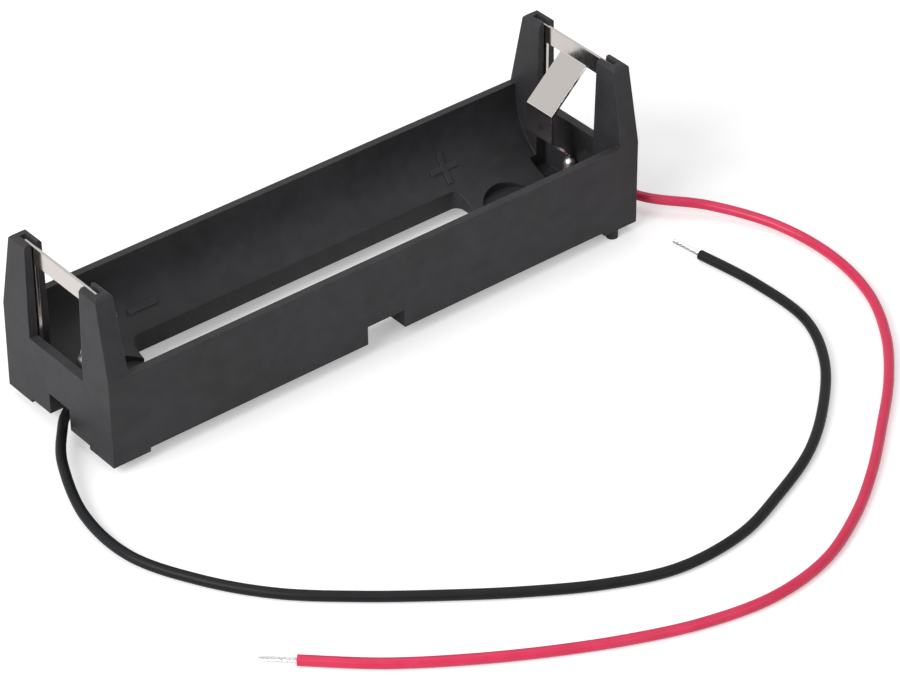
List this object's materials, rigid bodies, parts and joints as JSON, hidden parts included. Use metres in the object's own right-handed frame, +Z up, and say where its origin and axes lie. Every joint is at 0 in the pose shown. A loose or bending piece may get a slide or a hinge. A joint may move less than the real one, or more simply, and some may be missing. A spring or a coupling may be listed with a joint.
{
  "type": "cylindrical cell holder",
  "caption": "Open trough holder for one cylindrical cell, with folded spring contacts in slotted end posts, a locating peg underneath and two thin wire leads with bare ends.",
  "frame": {"origin": "middle of the holder in plan, at the height of the locating peg's tip", "axes": "+X along the cell towards its positive end, +Z up out of the trough, which is the way the cell comes out"},
  "size_m": [0.1001, 0.0834, 0.0227],
  "materials": {
    "housing_plastic": "fine-textured moulded charcoal plastic",
    "contact_metal": "satin nickel-plated spring strip",
    "solder": "bright tin solder",
    "black_insulation": "smooth semi-gloss wire insulation",
    "red_insulation": "smooth semi-gloss wire insulation",
    "tinned_wire": "tinned twisted strands"
  },
  "bodies": {
    "root": {"housing": "housing_plastic", "negative_contact": "contact_metal", "positive_contact": "contact_metal", "negative_joint": "solder", "positive_joint": "solder", "black_lead": "black_insulation", "red_lead": "red_insulation", "black_lead_tip": "tinned_wire", "red_lead_tip": "tinned_wire"}
  },
  "joints": []
}
